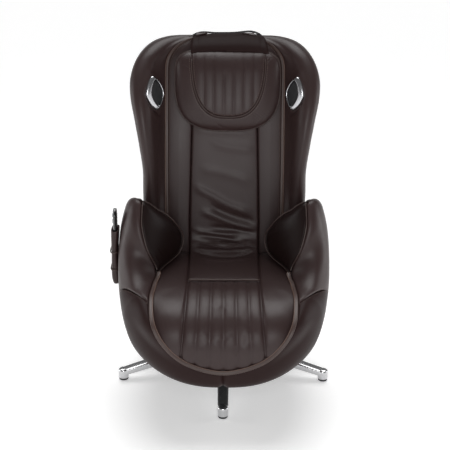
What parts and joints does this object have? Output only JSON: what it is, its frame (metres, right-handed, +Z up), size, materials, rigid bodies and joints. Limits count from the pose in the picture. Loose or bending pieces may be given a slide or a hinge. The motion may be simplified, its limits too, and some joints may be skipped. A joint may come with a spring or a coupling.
{
  "type": "massage chair",
  "caption": "Upholstered swivel massage chair with an egg-shaped seat, leaf arm pads, winged reclining back with speakers, hanging head pillow and a star base.",
  "frame": {"origin": "middle of the chair's footprint on the floor; the swivel axis is 65 mm behind it", "axes": "+Z up, +Y to the rear, so the sitter faces -Y, and +X is on the sitter's left"},
  "size_m": [0.7079, 0.8097, 1.0894],
  "materials": {
    "polished_aluminium": "polished, with soft reflections",
    "rubber": "matt black rubber",
    "black_steel": "black powder coat",
    "bright_steel": "turned bright steel",
    "brown_leather": "dark brown leather, fine grain, soft sheen",
    "arm_leather": "dark brown leather, fine grain",
    "plywood": "bare plywood",
    "black_plastic": "fine textured black plastic",
    "grey_motor": "grey painted motor can",
    "webbing": "black woven webbing",
    "red_plastic": "glossy red",
    "gloss_black": "glossy black",
    "silver_plastic": "silver keys",
    "brass": "turned brass",
    "chrome": "satin chrome",
    "black_mesh": "black speaker mesh",
    "roller_rubber": "brown rubber tyre"
  },
  "bodies": {
    "base": {"star_base": "polished_aluminium", "glide_pads": "rubber", "swivel_housing": "black_steel", "swivel_bearing": "bright_steel"},
    "seat": {"swivel_spindle": "bright_steel", "mount_plate": "black_steel", "plate_bolts": "bright_steel", "seat_side_rails": "black_steel", "seat_cross_tubes": "black_steel", "recline_brackets": "black_steel", "recline_pins": "bright_steel", "tub_left": "brown_leather", "tub_right": "brown_leather", "tub_front": "brown_leather", "tub_rear": "brown_leather", "arm_pad_left": "arm_leather", "arm_pad_right": "arm_leather", "seat_cushion": "brown_leather", "seat_board": "plywood", "underside_cover": "black_plastic", "control_box": "black_plastic", "air_pump": "grey_motor", "hip_airbags": "webbing", "vibration_motor": "grey_motor", "power_panel": "black_plastic", "power_inlet": "black_plastic", "actuator_bracket": "black_steel", "actuator_body": "black_plastic", "remote_pocket": "brown_leather"},
    "power_switch": {"rocker_switch": "red_plastic"},
    "recline_rod": {"actuator_rod": "bright_steel"},
    "remote": {"remote_shell": "gloss_black"},
    "remote_button_1": {"remote_button_1": "silver_plastic"},
    "remote_button_2": {"remote_button_2": "silver_plastic"},
    "remote_button_3": {"remote_button_3": "silver_plastic"},
    "remote_button_4": {"remote_button_4": "silver_plastic"},
    "back": {"back_side_rails": "black_steel", "back_cross_tubes": "black_steel", "back_brackets": "black_steel", "recline_bushes": "brass", "guide_rods": "bright_steel", "screw_motor": "grey_motor", "back_shell": "brown_leather", "wing_left": "brown_leather", "wing_right": "brown_leather", "back_pad": "brown_leather", "speaker_bezels": "chrome", "speaker_grilles": "black_mesh", "speaker_drivers": "grey_motor", "handle_strap": "webbing", "pillow_flap": "brown_leather"},
    "track_screw": {"lead_screw": "bright_steel"},
    "carriage": {"carriage_plate": "black_steel", "knead_motor": "grey_motor"},
    "kneading_shaft": {"knead_shaft": "bright_steel"},
    "massage_rocker": {"massage_arms": "black_plastic"},
    "upper_roller_pair": {"upper_rollers": "roller_rubber"},
    "lower_roller_pair": {"lower_rollers": "roller_rubber"},
    "pillow": {"head_pillow": "brown_leather"}
  },
  "joints": [
    {"name": "swivel", "type": "hinge", "parent": "base", "child": "seat", "pos_m": [0, 0.065, 0.1], "axis": [0, 0, 1], "continuous": true},
    {"name": "recline", "type": "hinge", "parent": "seat", "child": "back", "pos_m": [0, 0.15, 0.385], "axis": [-1, 0, 0], "range_deg": [0, 35]},
    {"name": "recline_drive", "type": "slide", "parent": "seat", "child": "recline_rod", "axis": [0, 0.9776, 0.2105], "range_m": [-0.0585, 0.0005]},
    {"name": "track", "type": "slide", "parent": "back", "child": "carriage", "axis": [0, 0.225, 0.9744], "range_m": [-0.04, 0.25]},
    {"name": "screw_turn", "type": "hinge", "parent": "back", "child": "track_screw", "pos_m": [0, 0.29154, 0.66021], "axis": [0, 0.225, 0.9744], "range_deg": [-1000, 5800]},
    {"name": "kneading", "type": "hinge", "parent": "carriage", "child": "kneading_shaft", "pos_m": [0, 0.25046, 0.59786], "axis": [1, 0, 0], "continuous": true},
    {"name": "arm_rock", "type": "hinge", "parent": "carriage", "child": "massage_rocker", "pos_m": [0, 0.25046, 0.59786], "axis": [1, 0, 0], "range_deg": [-5, 5]},
    {"name": "upper_roll", "type": "hinge", "parent": "massage_rocker", "child": "upper_roller_pair", "pos_m": [0, 0.24679, 0.66644], "axis": [1, 0, 0], "continuous": true},
    {"name": "lower_roll", "type": "hinge", "parent": "massage_rocker", "child": "lower_roller_pair", "pos_m": [0, 0.2171, 0.53782], "axis": [1, 0, 0], "continuous": true},
    {"name": "pillow_lift", "type": "hinge", "parent": "back", "child": "pillow", "pos_m": [0, 0.2745, 1.0555], "axis": [-1, 0, 0], "range_deg": [0, 120]},
    {"name": "remote_lift", "type": "slide", "parent": "seat", "child": "remote", "axis": [0, 0, 1], "range_m": [0, 0.15]},
    {"name": "button_1_press", "type": "slide", "parent": "remote", "child": "remote_button_1", "axis": [1, 0, 0], "range_m": [0, 0.0012], "stiffness_N_per_m": 300, "springref_m": -0.001},
    {"name": "button_2_press", "type": "slide", "parent": "remote", "child": "remote_button_2", "axis": [1, 0, 0], "range_m": [0, 0.0012], "stiffness_N_per_m": 300, "springref_m": -0.001},
    {"name": "button_3_press", "type": "slide", "parent": "remote", "child": "remote_button_3", "axis": [1, 0, 0], "range_m": [0, 0.0012], "stiffness_N_per_m": 300, "springref_m": -0.001},
    {"name": "button_4_press", "type": "slide", "parent": "remote", "child": "remote_button_4", "axis": [1, 0, 0], "range_m": [0, 0.0012], "stiffness_N_per_m": 300, "springref_m": -0.001},
    {"name": "switch_rock", "type": "hinge", "parent": "seat", "child": "power_switch", "pos_m": [-0.009, 0.243, 0.234], "axis": [1, 0, 0], "range_deg": [-8, 8]}
  ],
  "couplings": [
    {"joint": "recline_drive", "follows": "recline", "m_per_rad": -0.0935},
    {"joint": "screw_turn", "follows": "track", "rad_per_m": 392.7}
  ]
}
